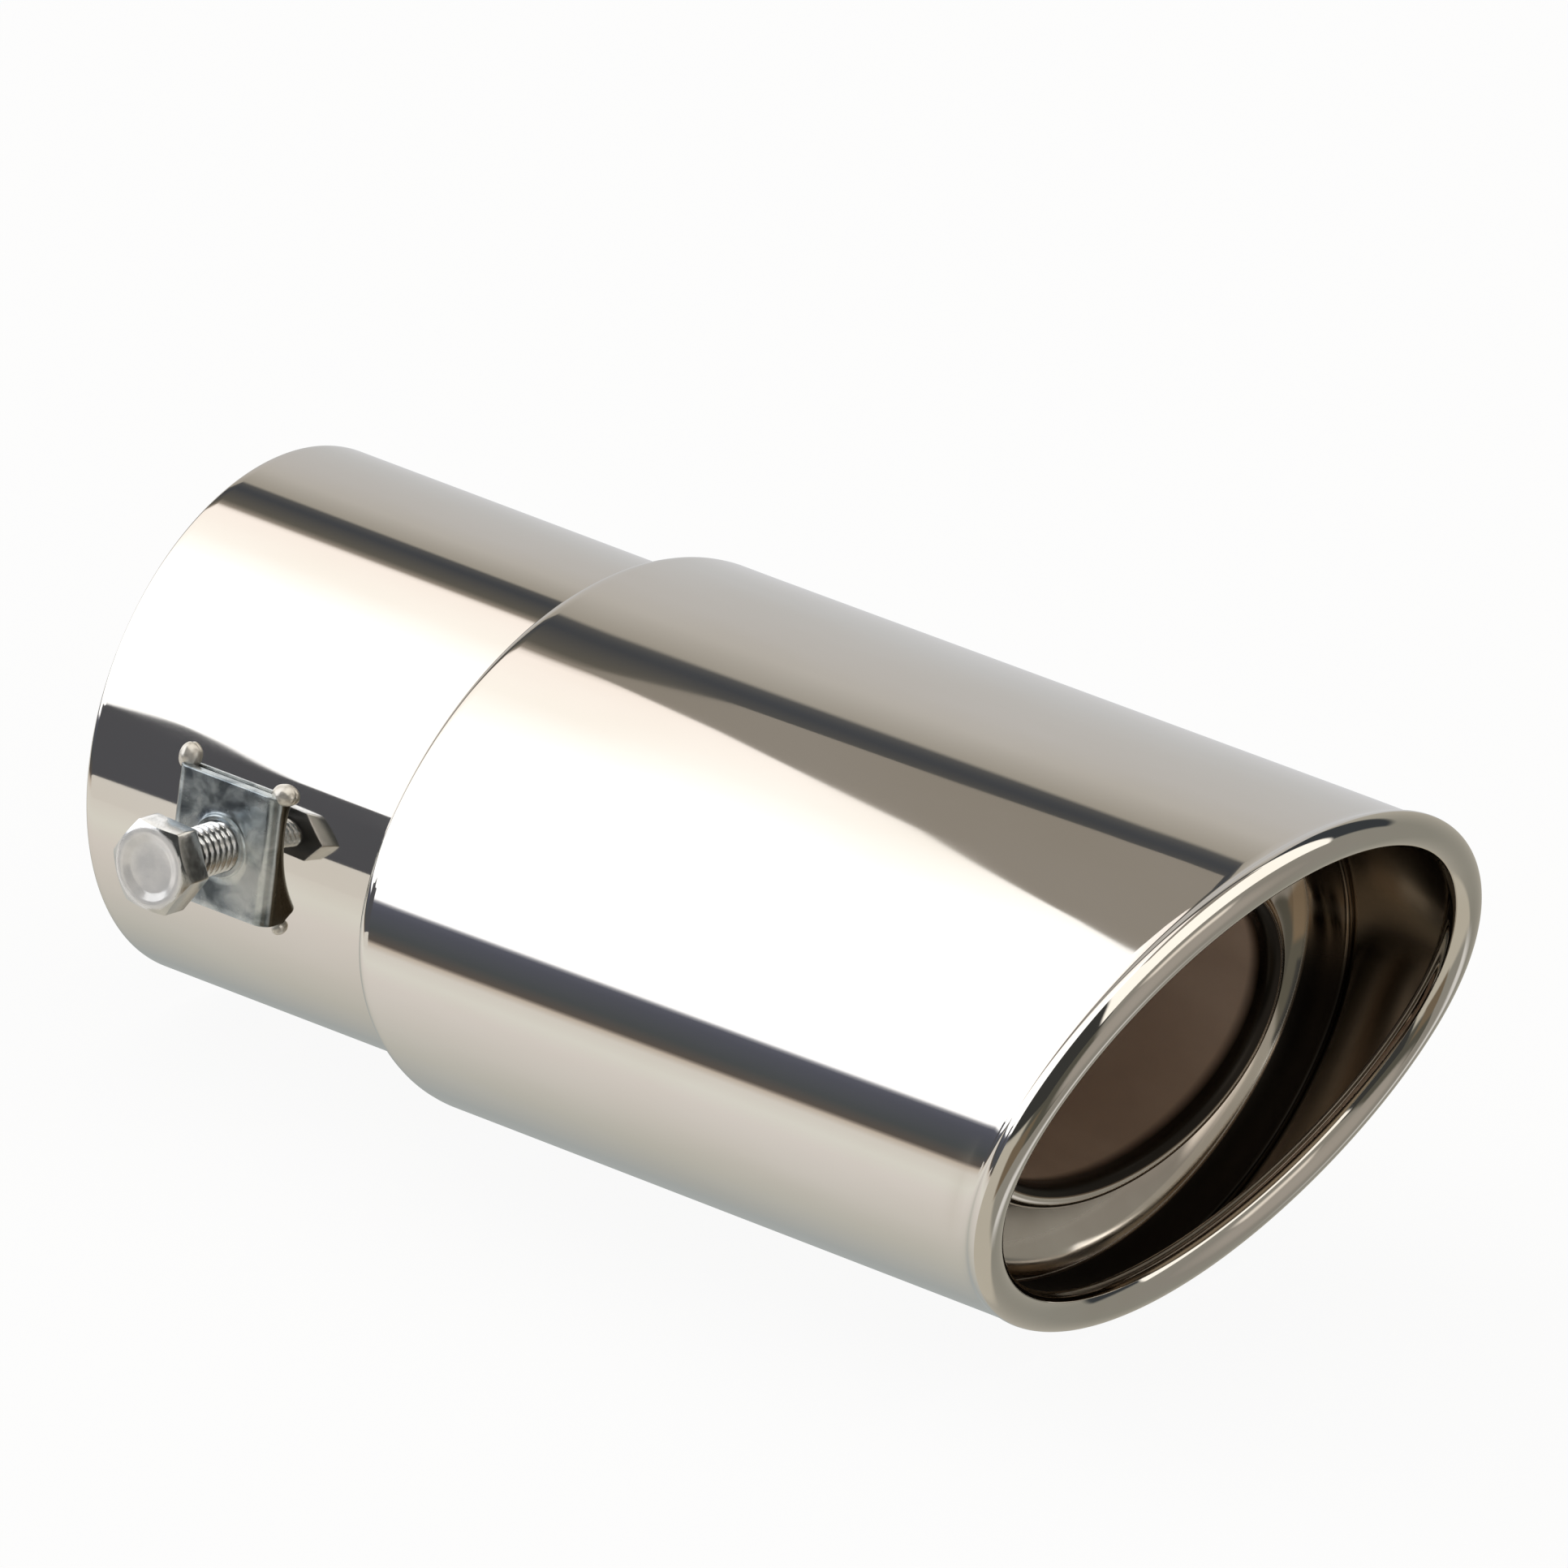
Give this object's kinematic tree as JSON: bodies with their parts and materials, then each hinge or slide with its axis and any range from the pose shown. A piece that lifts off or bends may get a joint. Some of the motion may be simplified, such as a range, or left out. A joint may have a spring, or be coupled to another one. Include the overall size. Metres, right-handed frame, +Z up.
{
  "type": "exhaust tip",
  "caption": "Bolt-on exhaust tip: round clamp collar, oval polished shell with a slash-cut rolled mouth and an inner throat.",
  "frame": {"origin": "centre of the collar's rear face, on the tube's axis", "axes": "+X along the tube from the inlet to the mouth, +Z up along the short side of the oval with the mouth's longer side on top, bracket and bolt on -Y"},
  "size_m": [0.155, 0.0895, 0.0662],
  "materials": {
    "polished_stainless": "mirror polished stainless steel",
    "liner_stainless": "polished stainless steel, slightly darker inside",
    "zinc_plated_steel": "zinc plated, satin",
    "weld_metal": "rough tack weld",
    "bright_zinc": "bright zinc plated"
  },
  "bodies": {
    "tip": {"inlet_collar": "polished_stainless", "outer_shell": "polished_stainless", "inner_liner": "liner_stainless", "clamp_bracket": "zinc_plated_steel", "bracket_tack_welds": "weld_metal"},
    "bolt": {"clamp_bolt": "bright_zinc"}
  },
  "joints": [
    {"name": "bolt_feed", "type": "slide", "parent": "tip", "child": "bolt", "axis": [0, 0.9962, -0.0872], "range_m": [-0.001, 0.0083]}
  ]
}
